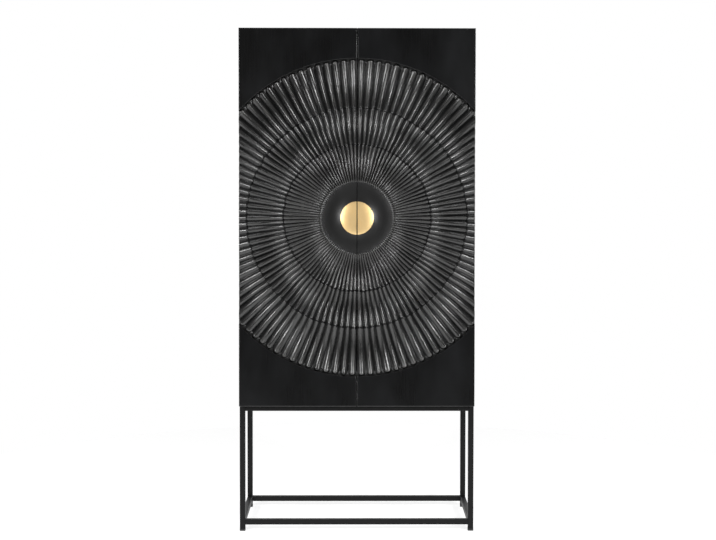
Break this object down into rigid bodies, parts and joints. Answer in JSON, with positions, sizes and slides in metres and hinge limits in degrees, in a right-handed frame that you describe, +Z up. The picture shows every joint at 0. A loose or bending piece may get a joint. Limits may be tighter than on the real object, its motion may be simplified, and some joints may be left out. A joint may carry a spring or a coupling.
{
  "type": "bar armoire",
  "caption": "Tall black bar armoire: carved sunburst doors with a split round brass pull, shelves, bottle and stemware rails inside, on an open iron stand.",
  "frame": {"origin": "on the floor at the middle of the bounding box's footprint", "axes": "+Z up, +X to the right seen from the front, +Y from the doors to the back"},
  "size_m": [0.9012, 0.4734, 1.93],
  "materials": {
    "black_wood": "satin black stain, smooth board",
    "carved_black_wood": "satin black stain over carved solid wood",
    "black_iron": "fine-textured black powder coat",
    "brass": "satin brushed, lightly aged",
    "dark_steel": "black oxide",
    "steel": "zinc plated",
    "plain_wood": "bare beech",
    "black_plastic": "moulded",
    "black_rubber": "soft pad"
  },
  "bodies": {
    "cabinet": {"back_panel": "black_wood", "back_panel_screws": "steel", "bottle_rail_screws": "steel", "bottom_panel": "black_wood", "case_dowels": "plain_wood", "case_hinge_screws": "dark_steel", "catch_housings": "black_plastic", "catch_magnets": "steel", "catch_screws": "steel", "door_bumpers": "black_rubber", "fixed_shelf": "black_wood", "floor_glides": "black_plastic", "front_bottle_rail": "black_wood", "front_left_leg": "black_iron", "front_low_rail": "black_iron", "front_right_leg": "black_iron", "front_top_rail": "black_iron", "left_case_hinge_leaves": "dark_steel", "left_hinge_pins": "dark_steel", "left_low_rail": "black_iron", "left_side_panel": "black_wood", "left_top_rail": "black_iron", "lower_shelf": "black_wood", "rear_bottle_rail": "black_wood", "rear_left_leg": "black_iron", "rear_low_rail": "black_iron", "rear_right_leg": "black_iron", "rear_top_rail": "black_iron", "right_case_hinge_leaves": "dark_steel", "right_hinge_pins": "dark_steel", "right_low_rail": "black_iron", "right_side_panel": "black_wood", "right_top_rail": "black_iron", "shelf_pins": "steel", "stand_screws": "steel", "stand_tabs": "black_iron", "stemware_rails": "black_wood", "stemware_screws": "steel", "top_panel": "black_wood", "upper_shelf": "black_wood"},
    "left_door": {"left_door_panel": "carved_black_wood", "left_handle": "brass", "left_handle_screws": "steel", "left_door_hinge_leaves": "dark_steel", "left_door_hinge_screws": "dark_steel", "left_strike_plates": "steel", "left_strike_screws": "steel"},
    "right_door": {"right_door_panel": "carved_black_wood", "right_handle": "brass", "right_handle_screws": "steel", "right_door_hinge_leaves": "dark_steel", "right_door_hinge_screws": "dark_steel", "right_strike_plates": "steel", "right_strike_screws": "steel"}
  },
  "joints": [
    {"name": "left_door_hinge", "type": "hinge", "parent": "cabinet", "child": "left_door", "pos_m": [-0.4474, -0.185, 1.2075], "axis": [0, 0, -1], "range_deg": [0, 120]},
    {"name": "right_door_hinge", "type": "hinge", "parent": "cabinet", "child": "right_door", "pos_m": [0.4474, -0.185, 1.2075], "axis": [0, 0, 1], "range_deg": [0, 120]}
  ]
}
